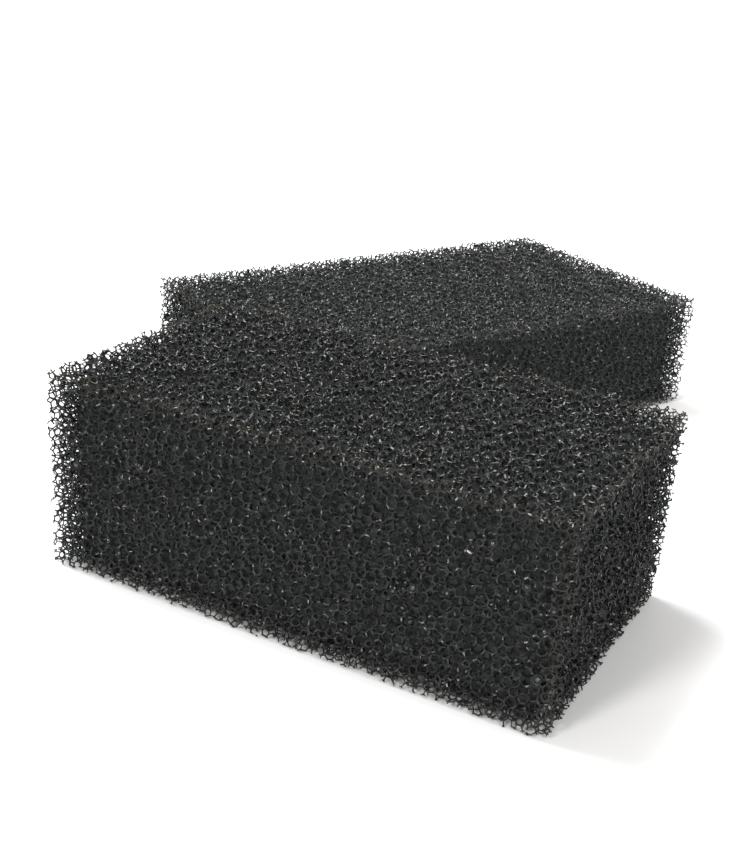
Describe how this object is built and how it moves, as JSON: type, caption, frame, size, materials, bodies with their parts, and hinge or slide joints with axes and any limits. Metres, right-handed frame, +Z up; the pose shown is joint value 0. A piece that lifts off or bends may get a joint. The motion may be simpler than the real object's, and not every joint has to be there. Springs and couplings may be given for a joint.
{
  "type": "filter foam block pair",
  "caption": "Loose pair of black coarse open-cell filter foam blocks, cut square, one lying flat at an angle behind the other, for a pond or aquarium filter.",
  "frame": {"origin": "centre of the front block's base, on the surface that both blocks stand on", "axes": "+X along the front block's long side, +Y from the front block towards the rear block, +Z up through the thickness of both blocks"},
  "size_m": [0.1687, 0.2355, 0.046],
  "materials": {
    "filter_foam": "open-cell polyurethane foam, near-black struts with a semi-gloss skin"
  },
  "bodies": {
    "front_block": {"front_block": "filter_foam"},
    "rear_block": {"rear_block": "filter_foam"}
  },
  "joints": [
    {"name": "rear_block_slide", "type": "slide", "parent": "front_block", "child": "rear_block", "axis": [0.4384, 0.8988, 0], "range_m": [0, 0.1]}
  ]
}
